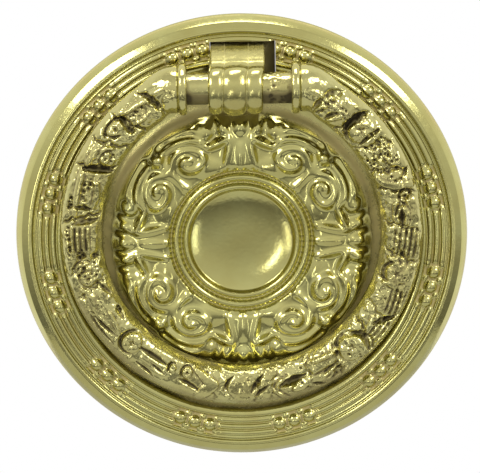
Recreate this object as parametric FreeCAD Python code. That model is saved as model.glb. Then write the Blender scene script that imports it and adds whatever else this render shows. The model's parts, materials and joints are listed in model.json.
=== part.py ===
import FreeCAD, Part
import math
import os

# Ring pull handle for a drawer or a cupboard door: a stamped backplate, a cast ring that swings on its own
# straight bar, and a ribbed hook that holds the bar and is drawn up from behind by one screw.
# Everything is drawn lying on its back, X right, Y up the plate and Z out of it, and is stood up at the end.

V = FreeCAD.Vector
ORIGIN = V(0, 0, 0)
AXIS_X = V(1, 0, 0)
AXIS_Z = V(0, 0, 1)

# Backplate, radial widths from the edge inwards
plate_radius = 32.0
sheet = 1.0
skirt_width = 1.8
crest_width = 1.2
channel_width = 2.9
fillet_width = 0.7
bank_width = 0.5
trough_width = 7.4
ornament_width = 7.5
moulding_width = 2.8

# Backplate, heights above the back plane
rim_height = 2.2
channel_floor = 1.6
trough_floor = 1.2
field_height = 2.5
boss_height = 2.7
moulding_depth = 0.8
dish_depth = 0.5
hollow_depth = 0.6

# Reeds and bead clusters of the rim
reed_count = 3
reed_rise = 0.35
cluster_count = 12
cluster_span_deg = 13.5
beads_per_cluster = 3
bead_rise = 0.95
bead_sides = 6

# Scroll rosette
scroll_inset = 4.0
scroll_spread_deg = 15.0
scroll_radius = 2.4
scroll_band = 0.6
scroll_step = 1.0
scroll_turns = 1.3
scroll_tail = 1.6
facets_per_turn = 9
scroll_height = 3.9
ball_inset = 1.3
ball_radius = 1.0
petal_count = 3
petal_spread_deg = 8.0
petal_rise = 0.9
petal_root = 0.5
mantle_path = ((0.77, 0.19), (0.845, 0.335), (0.8, 0.49), (0.7, 0.6))
mantle_half = 0.9
mantle_rise = 1.1

# Ring and its hinge bar
ring_rise = 1.65
ring_edge_gap = 1.15
ring_field_gap = 0.35
ring_crown = 2.1
ring_back = 1.8
ring_bevel = 1.0
ring_rest_gap = 0.1
bar_radius = 2.2
collar_face = 7.2
collar_radius = 3.65
collar_lip = 1.1
collar_length = 3.4
collar_gap = 0.35
shoulder_reach = 1.3
rosette_radius = 1.5
rosette_rise = 0.55
lump_stops_deg = (
    121.0, 132.5, 142.5, 152.5, 172.0, 190.0, 199.0, 258.0, 264.0, 275.0, 281.0, 294.0, 306.0, 320.5,
    329.0, 340.0, 352.0, 363.0, 377.0, 384.5, 395.0, 406.5, 417.0,
)
lump_rise = 0.2
cleft_depth = 0.5
cleft_share = 0.2
cleft_slant_deg = 1.0
hoop_step_deg = 8.0

# Hook, slot and post
hook_width = 7.5
hook_shift = -0.15
hook_wall = 0.7
hook_fit = 0.06
neck_rise = 5.6
neck_run = 3.6
side_rib_share = 0.26
side_rib_rise = 0.3
middle_rib_rise = 0.85
rib_slope = 0.25
rib_start_deg = 95.0
rib_end_deg = -70.0
slot_side_gap = 0.1
slot_spare = 1.5
slot_top_gap = 0.3
slot_foot_gap = 0.2
post_radius = 3.5
post_length = 9.0
post_drop = 0.5
key_gap = 0.05
key_thickness = 0.6
screw_core_radius = 1.65
screw_depth = 8.5

# Places that follow from the sizes
skirt_top_radius = plate_radius - skirt_width
channel_outer = skirt_top_radius - crest_width
channel_inner = channel_outer - channel_width
channel_middle = (channel_outer + channel_inner) / 2
fillet_inner = channel_inner - fillet_width
trough_outer = fillet_inner - bank_width
field_radius = trough_outer - trough_width
boss_radius = field_radius - ornament_width
dish_radius = boss_radius - moulding_width
scroll_circle = field_radius - scroll_inset
ball_circle = field_radius - ball_inset
ring_outer = trough_outer - ring_edge_gap + ring_rise
ring_inner = field_radius + ring_field_gap + ring_rise
ring_middle = (ring_outer + ring_inner) / 2
shoulder_x = collar_face + shoulder_reach
bar_y = ring_rise + math.sqrt(ring_middle**2 - shoulder_x**2)
lip_end = collar_face + collar_lip
fillet_middle = channel_inner - fillet_width / 2
fillet_y = math.sqrt(fillet_middle**2 - lip_end**2)
collar_drop = math.sqrt(max(collar_radius**2 - (fillet_y - bar_y) ** 2, 0.0))
bar_z = max(trough_floor + collar_radius, rim_height + collar_drop) + collar_gap
hook_inner = bar_radius + hook_fit
hook_outer = hook_inner + hook_wall
neck_top = bar_y + neck_rise
post_y = neck_top - post_drop - post_radius
post_face = bar_z - neck_run
slot_left = hook_shift - hook_width / 2 - slot_side_gap
slot_right = hook_shift + hook_width / 2 + slot_spare
slot_top = neck_top + slot_top_gap
slot_foot = post_y - post_radius - slot_foot_gap


def outline(start, *steps):
    """Closed wire in a half plane. A step is an end point, or a middle and an end point of an arc."""
    edges = []
    here = V(*start)
    for step in list(steps) + [start]:
        if isinstance(step[0], tuple):
            middle, end = V(*step[0]), V(*step[1])
            edges.append(Part.Arc(here, middle, end).toShape())
        else:
            end = V(*step)
            edges.append(Part.LineSegment(here, end).toShape())
        here = end
    return Part.Wire(edges)


def section(start, *steps):
    """The outline of a turned profile, given as radius and height pairs."""

    def lift(item):
        if isinstance(item[0], tuple):
            return tuple(lift(point) for point in item)
        return (item[0], 0.0, item[1])

    return outline(lift(start), *[lift(step) for step in steps])


def turned(wire, degrees=360.0, axis_point=ORIGIN, axis=AXIS_Z):
    """The solid that a closed profile sweeps about an axis."""
    return Part.Face(wire).revolve(axis_point, axis, degrees)


def spun(shape, degrees, axis_point=ORIGIN, axis=AXIS_Z):
    """A copy turned about an axis."""
    copy = shape.copy()
    copy.rotate(axis_point, axis, degrees)
    return copy


def polar(radius, degrees, height=0.0):
    """A point from its radius, its angle from +X and its height."""
    angle = math.radians(degrees)
    return V(radius * math.cos(angle), radius * math.sin(angle), height)


def stood_up(shape):
    """The plate's face, drawn towards +Z, is turned to look along -Y, with +Z up."""
    return spun(shape, 90.0, ORIGIN, AXIS_X)


def faceted_dome(rings, sides):
    """A cut gem form about Z: flat facets between regular polygons given as radius and height pairs."""

    def polygon(radius, height):
        return [polar(radius, 360.0 * (number + 0.5) / sides, height) for number in range(sides)]

    levels = [polygon(radius, height) for radius, height in rings]
    faces = [Part.Face(Part.makePolygon(level + level[:1])) for level in (levels[0], levels[-1])]
    for low, high in zip(levels, levels[1:]):
        for here in range(sides):
            there = (here + 1) % sides
            corners = [low[here], low[there], high[there], high[here], low[here]]
            faces.append(Part.Face(Part.makePolygon(corners)))
    return Part.Solid(Part.Shell(faces))


def plate_blank():
    """The turned form of the stamped sheet, front and back, without its ornament."""
    crest_middle = channel_outer + crest_width / 2
    moulding = moulding_width / 2
    step = dish_radius + moulding
    groove = boss_height - moulding_depth
    back = trough_floor - sheet
    hollow = field_radius - sheet
    return turned(
        section(
            (0, groove - dish_depth),
            (dish_radius, groove),
            (dish_radius + moulding / 2, boss_height),
            (step, groove),
            (step + moulding / 2, boss_height),
            (boss_radius, groove),
            (boss_radius + sheet / 2, field_height),
            (field_radius, field_height),
            (field_radius, trough_floor),
            (trough_outer, trough_floor),
            (fillet_middle, rim_height),
            (channel_inner, channel_floor),
            (channel_outer, channel_floor),
            (crest_middle, rim_height),
            (plate_radius - skirt_width / 3, rim_height / 2),
            (plate_radius, 0),
            (plate_radius - sheet, 0),
            (skirt_top_radius - sheet / 2, back),
            (hollow, back),
            (hollow, back + hollow_depth),
            (0, back + hollow_depth),
        )
    )


def reeds():
    """The round rods lying side by side in the rim's channel, whole circles."""
    pitch = channel_width / reed_count
    rods = []
    for number in range(reed_count):
        left = channel_inner + number * pitch
        middle = left + pitch / 2
        top = channel_floor + reed_rise
        rods.append(
            turned(
                section(
                    (left, channel_floor - reed_rise),
                    (left, channel_floor),
                    (middle, top),
                    (left + pitch, channel_floor),
                    (left + pitch, channel_floor - reed_rise),
                )
            )
        )
    return rods


def cluster_windows():
    """Sectors of the channel that are left free of reeds, one for each bead cluster."""
    window = turned(
        section(
            (channel_inner, channel_floor),
            (channel_outer, channel_floor),
            (channel_outer, channel_floor + bead_rise),
            (channel_inner, channel_floor + bead_rise),
        ),
        cluster_span_deg,
    )
    pitch = 360.0 / cluster_count
    return [spun(window, (number + 0.5) * pitch - cluster_span_deg / 2) for number in range(cluster_count)]


def bead_clusters():
    """Domed beads, each standing on the channel's floor, in groups round the rim."""
    bead_pitch = cluster_span_deg / beads_per_cluster
    base = min(channel_width / 2, channel_middle * math.radians(bead_pitch) / 2)
    sunk = sheet / 2
    root = base * (1 + sunk / bead_rise / 2)
    bead = faceted_dome([(root, -sunk), (base / 2, bead_rise)], bead_sides)
    bead.translate(V(channel_middle, 0, channel_floor))
    beads = []
    for number in range(cluster_count):
        middle = (number + 0.5) * 360.0 / cluster_count
        for place in range(beads_per_cluster):
            beads.append(spun(bead, middle + (place - (beads_per_cluster - 1) / 2) * bead_pitch))
    return beads


def scroll():
    """One volute about the origin: a flat band winding inwards at an even rate, its eye, and a tail to -Y."""
    floor = field_height - sheet / 2

    def edge(shrink):
        points = [V(scroll_radius + scroll_band / 2 - shrink, -scroll_tail, floor)]
        for number in range(round(scroll_turns * facets_per_turn) + 1):
            turn = number / facets_per_turn
            points.append(polar(scroll_radius - shrink - scroll_step * turn, 360.0 * turn, floor))
        return points

    loop = edge(0.0) + edge(scroll_band)[::-1]
    band = Part.Face(Part.makePolygon(loop + loop[:1])).extrude(V(0, 0, scroll_height - floor))
    eye = faceted_dome([(scroll_band, floor), (scroll_band / 2, scroll_height)], bead_sides)
    return [band, eye]


def petal():
    """One flute of a leaf along +X: a ridge that rises and widens from the boss to the field's edge."""
    floor = field_height - sheet / 2
    near = boss_radius + sheet / 2
    far = field_radius - ring_field_gap
    half = far * math.radians(petal_spread_deg) / 2
    root = half * petal_root
    base = [V(near, -root, floor), V(far, -half, floor), V(far, half, floor), V(near, root, floor)]
    ridge = [V(near, 0, field_height), V(far, 0, field_height + petal_rise)]
    corners = [
        [base[0], base[3], base[2], base[1]],
        [base[0], base[1], ridge[1], ridge[0]],
        [base[2], base[3], ridge[0], ridge[1]],
        [base[1], base[2], ridge[1]],
        [base[3], base[0], ridge[0]],
    ]
    return Part.Solid(Part.Shell([facet for loop in corners for facet in flat_facets(loop)]))


def flat_facets(loop):
    """Triangles that span a loop of corners from its first corner."""
    return [
        Part.Face(Part.makePolygon([loop[0], loop[here], loop[here + 1], loop[0]]))
        for here in range(1, len(loop) - 1)
    ]


def mantle():
    """The raised leaf edge that runs round the outside of a volute, a ridge along a bent path."""
    floor = field_height - sheet / 2
    path = [V(x * field_radius, y * field_radius, 0) for x, y in mantle_path]
    left, right, crest = [], [], []
    for place, point in enumerate(path):
        ahead = path[min(place + 1, len(path) - 1)] - path[max(place - 1, 0)]
        ahead.normalize()
        tip = place in (0, len(path) - 1)
        side = V(-ahead.y, ahead.x, 0) * (mantle_half / 2 if tip else mantle_half)
        left.append(point + side + V(0, 0, floor))
        right.append(point - side + V(0, 0, floor))
        crest.append(point + V(0, 0, field_height + mantle_rise / (2 if tip else 1)))
    facets = flat_facets([left[0], right[0], crest[0]]) + flat_facets([left[-1], crest[-1], right[-1]])
    for here in range(len(path) - 1):
        there = here + 1
        facets += flat_facets([left[here], crest[here], crest[there], left[there]])
        facets += flat_facets([crest[here], right[here], right[there], crest[there]])
        facets += flat_facets([right[here], left[here], left[there], right[there]])
    return Part.Solid(Part.Shell(facets))


def rosette():
    """Scrolls in mirrored pairs about the diagonals, a ball on each diagonal, a fluted leaf on each axis."""
    pieces = []
    floor = field_height - sheet / 2
    top = field_height + ball_radius
    levels = [(ball_radius, floor), (ball_radius, field_height), (ball_radius / 2, top)]
    ball = faceted_dome(levels, bead_sides)
    ball.translate(V(ball_circle, 0, 0))
    for quarter in range(4):
        diagonal = 45.0 + 90.0 * quarter
        pieces.append(spun(ball, diagonal))
        for hand in (-1, 1):
            for piece in scroll():
                placed = piece.copy() if hand < 0 else piece.mirror(ORIGIN, V(0, 1, 0))
                placed.translate(V(scroll_circle, 0, 0))
                pieces.append(spun(placed, diagonal + hand * scroll_spread_deg))
        pieces.append(spun(mantle(), 90.0 * quarter))
        pieces.append(spun(mantle().mirror(ORIGIN, V(0, 1, 0)), 90.0 * quarter))
        for place in range(petal_count):
            pieces.append(spun(petal(), 90.0 * quarter + (place - (petal_count - 1) / 2) * petal_spread_deg))
    return pieces


def backplate():
    """Stamped plate: the turned blank with reeds, bead clusters, rosette and slot."""
    slot = Part.makeBox(
        slot_right - slot_left,
        slot_top - slot_foot,
        rim_height + bead_rise + sheet,
        V(slot_left, slot_foot, -sheet),
    )
    rods = reeds()
    rim = rods[0].multiFuse(rods[1:]).cut(Part.Compound(cluster_windows()))
    plate = plate_blank().fuse(rim.Solids)
    plate = plate.multiFuse(bead_clusters() + rosette())
    return plate.cut(slot).removeSplitter()


def ring_section(crown, slant, degrees):
    """Corners of the ring's section at an angle: an oblong with bevelled corners, aslant across the face."""
    loop = [
        (ring_inner + ring_bevel, -ring_back),
        (ring_outer - ring_bevel, -ring_back),
        (ring_outer, ring_bevel - ring_back),
        (ring_outer, ring_crown - ring_bevel),
        (ring_outer - ring_bevel, crown),
        (ring_inner + ring_bevel, crown),
        (ring_inner, ring_crown - ring_bevel),
        (ring_inner, ring_bevel - ring_back),
    ]
    return [polar(radius, degrees - slant * (radius - ring_middle), height) for radius, height in loop]


def ring_stations(start, end):
    """Angles and crown heights along the ring: a cleft at every stop and a raised lump between two stops."""
    stops = [start] + [stop for stop in lump_stops_deg if start < stop < end] + [end]
    raised = ring_crown + lump_rise
    stations = [(start, ring_crown)]
    for here, there in zip(stops, stops[1:]):
        shoulder = min(there - here, hoop_step_deg) * cleft_share
        steps = max(1, math.ceil((there - here - 2 * shoulder) / hoop_step_deg))
        for number in range(steps + 1):
            stations.append((here + shoulder + (there - here - 2 * shoulder) * number / steps, raised))
        stations.append((there, ring_crown if there == end else ring_crown - cleft_depth))
    return stations


def carved_hoop(start, end):
    """The cast hoop from collar to collar: flat facets between sections, lumps parted by slanting clefts."""
    levels = []
    for degrees, crown in ring_stations(start, end):
        lean = max(-1.0, min(1.0, (degrees - 270.0) / hoop_step_deg))
        fade = min(1.0, (degrees - start) / hoop_step_deg, (end - degrees) / hoop_step_deg)
        levels.append(ring_section(crown, cleft_slant_deg * lean * fade, degrees))
    facets = flat_facets(levels[0]) + flat_facets(levels[-1])
    for low, high in zip(levels, levels[1:]):
        for here in range(len(low)):
            there = (here + 1) % len(low)
            facets += flat_facets([low[here], low[there], high[there], high[here]])
    return Part.Solid(Part.Shell(facets))


def collar(side):
    """Flared collar where the ring's end meets the bar, turned about the bar."""
    profile = outline(
        (0, 0, 0),
        (0, collar_radius, 0),
        (collar_lip, collar_radius, 0),
        (collar_length, bar_radius, 0),
        (collar_length, 0, 0),
    )
    solid = turned(profile, 360.0, ORIGIN, AXIS_X)
    solid.translate(V(collar_face, 0, 0))
    return solid if side > 0 else solid.mirror(ORIGIN, AXIS_X)


def ring():
    """Cast ring with its collars and bar, hung from the bar's axis and leaning on the trough's floor."""
    gap_angle = math.degrees(math.asin(shoulder_x / ring_middle))
    drop = bar_y - ring_rise
    hoop = carved_hoop(90.0 + gap_angle, 450.0 - gap_angle)
    boss = faceted_dome([(rosette_radius, 0), (rosette_radius / 2, ring_crown + rosette_rise)], bead_sides)
    boss.translate(V(ring_middle, 0, 0))
    carving = [spun(boss, degrees) for degrees in (42, 8, -14, -46, -73, -137, -172, 136)]
    hoop = hoop.multiFuse(carving)
    hoop.translate(V(0, -drop, 0))
    half_bar = collar_face + collar_lip / 2
    bar = Part.makeCylinder(bar_radius, 2 * half_bar, V(-half_bar, 0, 0), AXIS_X)
    casting = hoop.multiFuse([collar(-1), collar(1), bar]).removeSplitter()
    fall = bar_z - trough_floor - ring_rest_gap - ring_back
    casting.rotate(ORIGIN, AXIS_X, math.degrees(math.asin(fall / (drop + ring_outer))))
    casting.translate(V(0, bar_y, bar_z))
    return casting


def rib(left, width, rise, slope):
    """One rib of the hook, turned partly about the bar, its sides sloping in by a share of its width."""
    root = hook_inner + hook_wall / 2
    crown = hook_outer + rise
    profile = outline(
        (left, root, 0),
        (left + width * slope, crown, 0),
        (left + width * (1 - slope), crown, 0),
        (left + width, root, 0),
    )
    solid = turned(profile, rib_start_deg - rib_end_deg, ORIGIN, AXIS_X)
    return spun(solid, 90.0 - rib_start_deg, ORIGIN, AXIS_X)


def hinge_hook():
    """Hook over the bar, neck and flat key in the slot, foot on the trough's floor, a tapped post behind."""
    left = hook_shift - hook_width / 2
    foot = trough_floor - bar_z
    side = outline(
        (left, hook_outer, 0),
        ((left, 0, hook_outer), (left, -hook_outer, 0)),
        (left, -hook_outer, foot),
        (left, -hook_inner, foot),
        (left, -hook_inner, 0),
        ((left, 0, hook_inner), (left, hook_inner, 0)),
        (left, hook_inner, -bar_z),
        (left, neck_rise, -bar_z),
        (left, neck_rise, -neck_run),
    )
    body = Part.Face(side).extrude(V(hook_width, 0, 0))
    side_width = hook_width * side_rib_share
    ribs = [
        rib(left, side_width, side_rib_rise, 0.0),
        rib(left + side_width, hook_width - 2 * side_width, middle_rib_rise, rib_slope),
        rib(left + hook_width - side_width, side_width, side_rib_rise, 0.0),
    ]
    hook = body.multiFuse(ribs)
    hook.translate(V(0, bar_y, bar_z))
    post = Part.makeCylinder(post_radius, post_length + post_face, V(hook_shift, post_y, -post_length))
    tapped = Part.makeCylinder(screw_core_radius, screw_depth, V(hook_shift, post_y, -post_length))
    key = Part.makeBox(
        slot_right - slot_left - 2 * key_gap,
        slot_top - slot_foot - 2 * key_gap,
        key_thickness,
        V(slot_left + key_gap, slot_foot + key_gap, 0),
    )
    return hook.multiFuse([post, key]).cut(tapped).removeSplitter()


os.makedirs("parts", exist_ok=True)
for name, shape in (("backplate", backplate()), ("ring", ring()), ("hinge_hook", hinge_hook())):
    piece = stood_up(shape)
    solids = piece.Solids
    if len(solids) != 1 or not solids[0].isValid():
        raise RuntimeError(name + " is not one valid solid")
    solids[0].exportStep("parts/" + name + ".step")
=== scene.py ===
import json
import math

import bpy
import numpy as np
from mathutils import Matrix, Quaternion, Vector


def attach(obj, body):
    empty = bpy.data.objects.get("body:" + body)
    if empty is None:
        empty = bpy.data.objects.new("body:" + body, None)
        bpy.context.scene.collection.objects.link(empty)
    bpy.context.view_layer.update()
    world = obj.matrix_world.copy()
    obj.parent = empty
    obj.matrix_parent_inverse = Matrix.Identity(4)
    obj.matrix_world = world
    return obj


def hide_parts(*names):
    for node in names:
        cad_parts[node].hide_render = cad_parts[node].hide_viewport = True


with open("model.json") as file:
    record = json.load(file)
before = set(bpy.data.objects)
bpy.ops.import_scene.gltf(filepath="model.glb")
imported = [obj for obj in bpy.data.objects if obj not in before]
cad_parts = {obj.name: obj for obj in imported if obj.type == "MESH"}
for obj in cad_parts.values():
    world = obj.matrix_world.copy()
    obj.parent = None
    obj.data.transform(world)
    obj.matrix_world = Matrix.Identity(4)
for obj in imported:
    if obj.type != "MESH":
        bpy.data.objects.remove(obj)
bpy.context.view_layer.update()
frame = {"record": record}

bl_info = {
    "name": "Ring Pull Handle",
    "version": (1, 0, 0),
    "blender": (4, 5, 0),
    "location": "View3D > Sidebar > Ring Pull",
    "description": "Dresses a stamped backplate, a cast ring and a ribbed hook in worn brass",
    "category": "Object",
}

MM = 0.001
BAR = np.array(frame["record"]["behaviour"]["joints"][0]["pos_m"]) / MM
BAR_OUT = -float(BAR[1])  # the bar's axis in front of the back plane, in millimetres
BAR_UP = float(BAR[2])  # the bar's axis above the plate's centre, in millimetres

PLATE_COLUMNS = 560
DISH_EDGE, DISH_FLOOR, DISH_DEPTH = 7.15, 1.2, 0.65
BOSS_FLOOR, BOSS_RISE = 1.85, 0.85
PEARL_CIRCLE, PEARL_WAVES, MILL_CIRCLE, MILL_WAVES = 8.52, 34, 10.1, 44
COVE_START, CHANNEL_START = 20.0, 25.8
REED_START, REED_PITCH, REEDS = 26.12, 0.965, 3
BEAD_CIRCLE, BEAD_GROUPS = 27.57, 12
CREST_END, SKIRT_START = 29.35, 30.08
# The last value here is how dark the painted shade on the slot's walls is.
SLOT_LOW, SLOT_HIGH, SLOT_WALL_SHADE = (-4.0, -6.0, 20.33), (5.1, 3.0, 28.33), 0.85
FLOOR_LEVEL, FLOOR_RADIUS = -0.26, 0.34
PHOTO_WIDTH, FOCAL_LENGTH, SENSOR = 480.0, 2394.2, 36.0  # pixels, pixels, millimetres


def length(name, description, default_mm):
    """A size property in metres whose default is given in millimetres."""
    return bpy.props.FloatProperty(
        name=name, description=description, default=default_mm * MM, unit="LENGTH", precision=5
    )


def colour(name, description, default):
    """A linear colour property."""
    return bpy.props.FloatVectorProperty(
        name=name, description=description, default=default, subtype="COLOR", size=3, min=0.0, max=1.0
    )


class PlateSizes(bpy.types.PropertyGroup):
    """Radii and heights of the stamped backplate."""

    radius: length("Radius", "Outer radius of the plate", 31.99)
    rim_height: length("Rim height", "Height of the rim's crest above the back plane", 2.2)
    channel_floor: length("Channel floor", "Height of the floor under the reeds", 1.6)
    trough_floor: length("Trough floor", "Height of the floor that the ring lies over", 1.2)
    field_height: length("Field height", "Height of the ornament's ground", 2.4)
    field_radius: length("Field radius", "Outer radius of the scroll ornament", 17.5)
    relief: length("Relief", "Rise of the scrolls above their ground", 1.5)
    reed_rise: length("Reed rise", "Rise of the reeds above their floor", 0.4)
    bead_rise: length("Bead rise", "Rise of the beads above their floor", 0.8)


class RingSizes(bpy.types.PropertyGroup):
    """Sizes of the cast ring, its collars and its bar."""

    inner: length("Inner radius", "Inner radius of the ring", 19.5)
    outer: length("Outer radius", "Outer radius of the ring", 25.4)
    crown: length("Crown", "Height of the carved face above the ring's middle plane", 2.0)
    back: length("Back", "Depth of the back below the ring's middle plane", 1.8)
    rise: length("Rise", "Height of the ring's centre above the plate's centre", 1.65)
    bar_radius: length("Bar radius", "Radius of the hinge bar", 2.2)
    collar_face: length("Collar face", "Half of the free length of the bar", 7.2)
    collar_radius: length("Collar radius", "Radius of the collars", 3.65)


class HookSizes(bpy.types.PropertyGroup):
    """Sizes of the ribbed hook and its tapped post."""

    width: length("Width", "Width of the hook", 7.5)
    shift: length("Shift", "Sideways place of the hook's middle", -0.15)
    wall: length("Wall", "Thickness of the strap between its ribs", 0.7)
    fit: length("Fit", "Clearance round the bar", 0.06)
    rib_rise: length("Rib rise", "Rise of the middle rib", 0.85)
    post_radius: length("Post radius", "Radius of the post behind the plate", 3.5)
    post_length: length("Post length", "Length of the post behind the back plane", 9.0)


class BrassColours(bpy.types.PropertyGroup):
    """Colours of the brass, and of the deposits and painted shade in its recesses."""

    plate: colour("Plate", "Polished brass of the plate", (0.55, 0.52, 0.2))
    ring: colour("Ring", "Cast brass of the ring", (0.575, 0.535, 0.222))
    hook: colour("Hook", "Brass of the hook", (0.53, 0.49, 0.19))
    # Brown for the film in the hollows, used also as painted shade under the hook and on the ring's inner side and
    # back.
    tarnish_and_shade: colour("Tarnish", "Brown tarnish in the recesses", (0.43, 0.358, 0.152))
    # Near black for deposits in pits and for painted shade in deep corners.
    pit_dirt_and_shade: colour("Pit", "Dirt in pits and deep corners", (0.06, 0.048, 0.024))


def quads(rows, columns, close_rows=False, close_columns=False):
    """Corner numbers of the faces of a grid, wrapped round where a direction is closed."""
    r = np.arange(rows if close_rows else rows - 1)
    c = np.arange(columns if close_columns else columns - 1)
    i, j = np.meshgrid(r, c, indexing="ij")
    k, m = (i + 1) % rows, (j + 1) % columns
    return np.stack([i * columns + j, i * columns + m, k * columns + m, k * columns + j], -1).reshape(-1, 4)


def fan(centre, loop, flip=False):
    """Triangles from a centre vertex to a closed loop of vertices."""
    loop = np.asarray(loop)
    other = np.roll(loop, -1)
    pair = (other, loop) if flip else (loop, other)
    return np.stack([np.full(len(loop), centre), *pair], -1)


def capped(rows, flip=False):
    """Places and faces of a tube of closed loops, its two ends closed from their middles."""
    count, columns = rows.shape[:2]
    total = count * columns
    points = np.concatenate([rows.reshape(-1, 3), rows[0].mean(0)[None], rows[-1].mean(0)[None]])
    faces = [
        quads(count, columns, close_columns=True),
        fan(total, np.arange(columns), True),
        fan(total + 1, np.arange(total - columns, total)),
    ]
    return points, [group[:, ::-1] for group in faces] if flip else faces


def build(name, parts, body, node):
    """One object from parts, each an array of places in millimetres, its faces and its values of deposits and
    painted shade.
    """
    places, faces, dirt_and_shade, start = [], [], [], 0
    for points, groups, part_dirt_and_shade in parts:
        points = points.reshape(-1, 3)
        places.append(points)
        dirt_and_shade.append(np.broadcast_to(part_dirt_and_shade, (len(points),)))
        for group in groups:
            faces.extend((group + start).tolist())
        start += len(points)
    mesh = bpy.data.meshes.new(name)
    mesh.from_pydata((np.concatenate(places) * MM).tolist(), [], faces)
    # The per-vertex attribute holds deposits in the hollows together with painted shade in recesses, under parts
    # and between them.
    mesh.attributes.new("dirt_and_shade", "FLOAT", "POINT").data.foreach_set(
        "value", np.concatenate(dirt_and_shade).astype(np.float32)
    )
    mesh.shade_smooth()
    mesh.validate()
    piece = bpy.data.objects.new(name, mesh)
    bpy.context.scene.collection.objects.link(piece)
    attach(piece, body)
    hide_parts(node)
    return piece


def curve(points, count=40):
    """A smooth path through a few points: a cubic between each pair, its slopes from the neighbours."""
    p = np.asarray(points, float)
    ends = np.vstack([2 * p[0] - p[1], p, 2 * p[-1] - p[-2]])
    t = np.linspace(0, len(p) - 1 - 1e-9, count)
    i = t.astype(int)
    f = (t - i)[:, None]
    a, b, c, d = ends[i], ends[i + 1], ends[i + 2], ends[i + 3]
    return 0.5 * (2 * b + (c - a) * f + (2 * a - 5 * b + 4 * c - d) * f**2 + (3 * b - a - 3 * c + d) * f**3)


def stroke(u, v, path, width, height, power=2.0):
    """Height of a ridge along a path: its width and height run evenly along it.

    Across it the height falls as 1 - (distance / width) ** power."""
    best = np.full(u.shape, 1e9)
    along = np.zeros(u.shape)
    steps = len(path) - 1
    for n in range(steps):
        a, d = path[n], path[n + 1] - path[n]
        t = np.clip(((u - a[0]) * d[0] + (v - a[1]) * d[1]) / max(d @ d, 1e-12), 0, 1)
        gap = (u - a[0] - t * d[0]) ** 2 + (v - a[1] - t * d[1]) ** 2
        near = gap < best
        best = np.where(near, gap, best)
        along = np.where(near, (n + t) / steps, along)
    w, h = (np.interp(along, np.linspace(0, 1, len(values)), values) for values in (width, height))
    return h * np.clip(1 - (np.sqrt(best) / w) ** power, 0, None)


def arch(x, middle, half):
    """1 at the middle, falling as a parabola to 0 at half a width on both sides."""
    return np.clip(1 - ((x - middle) / half) ** 2, 0, None)


def dome(u, v, radius_u, radius_v, height, power=0.5):
    """Height of a rounded boss on an ellipse."""
    return height * np.clip(1 - (u / radius_u) ** 2 - (v / radius_v) ** 2, 0, None) ** power


def smooth(low, high, x):
    """A step from 0 to 1 with soft ends."""
    t = np.clip((x - low) / (high - low), 0, 1)
    return t * t * (3 - 2 * t)


def blurred(field, passes):
    """A grid averaged with its neighbours, round and round in its second direction."""
    for _ in range(passes):
        field = (np.roll(field, 1, 1) + np.roll(field, -1, 1) + 2 * field) / 4
        padded = np.vstack([field[:1], field, field[-1:]])
        field = (padded[:-2] + padded[2:] + 2 * field) / 4
    return field


# Middle line of the volute, in millimetres out along the axis and across it
COIL = (
    7.7, 7.5, 8.5, 8.6, 9.6, 9.4, 11.1, 9.75, 12.5, 9.3, 13.25, 8.2, 13.4, 6.9, 12.95, 5.65, 12.1, 5.05,
    11.15, 5.35, 10.45, 6.3, 10.35, 7.3, 10.85, 8.1, 11.7, 8.15, 12.15, 7.5, 11.85, 7,
)
# Ridges of the trunk, its arm, three leaf folds and the ball's stem: path, widths, heights and, once, the power
STROKES = (
    ((10.7, 0, 12.5, 0, 14.1, 0), (0.62, 0.55, 0.4), (0.5, 0.7, 0.62)),
    (
        (10.6, 2.2, 12.6, 1.75, 14.4, 1.5, 15.6, 1.65, 16.6, 1.9),
        (0.5, 0.52, 0.48, 0.4, 0.3), (0.5, 0.7, 0.85, 0.75, 0.5),
    ),
    ((14.9, 1.7, 14.45, 2.6, 13.9, 3.7, 13.2, 4.8), (0.35, 0.6, 0.55, 0.2), (0.8, 1, 0.9, 0.45)),
    ((13.5, 4.6, 14.5, 6, 14.6, 7.6, 13.9, 9.4, 12.7, 10.9), (0.4, 0.75, 0.8, 0.7, 0.4), (0.7, 1, 0.95, 0.8, 0.4)),
    (
        (14.8, 4.9, 16, 6.7, 15.9, 8.5, 15.1, 10.3, 13.9, 12.1),
        (0.35, 0.8, 0.9, 0.85, 0.5), (0.6, 0.85, 0.85, 0.75, 0.5),
    ),
    (
        (16.6, 5.2, 17.3, 6.8, 16.9, 9, 15.6, 11.2, 14.2, 12.9),
        (0.8, 1, 1, 1, 0.8), (0.35, 0.42, 0.42, 0.4, 0.35), 2.4,
    ),
    ((9.2, 9.2, 10.2, 10.2, 11.4, 11.4), (0.4, 0.7, 0.9), (0.25, 0.5, 0.4)),
)


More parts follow.
